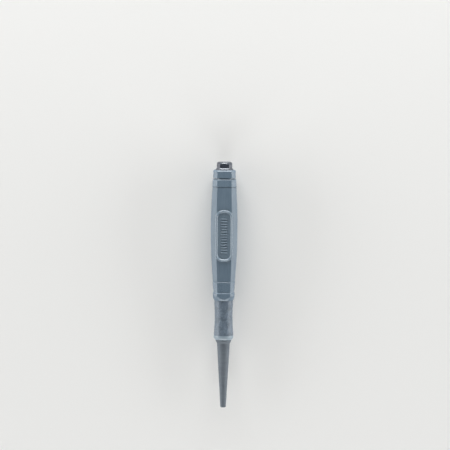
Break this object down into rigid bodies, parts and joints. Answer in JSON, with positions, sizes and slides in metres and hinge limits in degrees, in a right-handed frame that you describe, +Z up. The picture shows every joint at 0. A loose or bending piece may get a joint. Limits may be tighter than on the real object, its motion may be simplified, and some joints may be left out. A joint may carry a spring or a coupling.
{
  "type": "nail setter",
  "caption": "Nail setter: steel punch with a chamfered square striking head, a faceted comfort grip with oval thumb panels, a soft hollow waist and a tapered nose with a cupped tip.",
  "frame": {"origin": "centre of the tool's footprint on the surface that it lies on, under its mid-length", "axes": "+Y along the axis from the cupped tip to the striking face, +Z up, out of the front oval panel, +X to the right of the front"},
  "size_m": [0.0122, 0.1142, 0.0129],
  "materials": {
    "punch_steel": "hardened steel, ground satin nose, dark oxide head",
    "hard_grip": "moulded blue-grey polypropylene, satin",
    "soft_grip": "moulded blue-grey elastomer, fine satin",
    "waist_grip": "moulded blue-grey elastomer, stippled"
  },
  "bodies": {
    "root": {"punch": "punch_steel", "end_collar": "hard_grip", "grip_core": "hard_grip", "grip_sleeve": "soft_grip", "waist_sleeve": "waist_grip"}
  },
  "joints": []
}
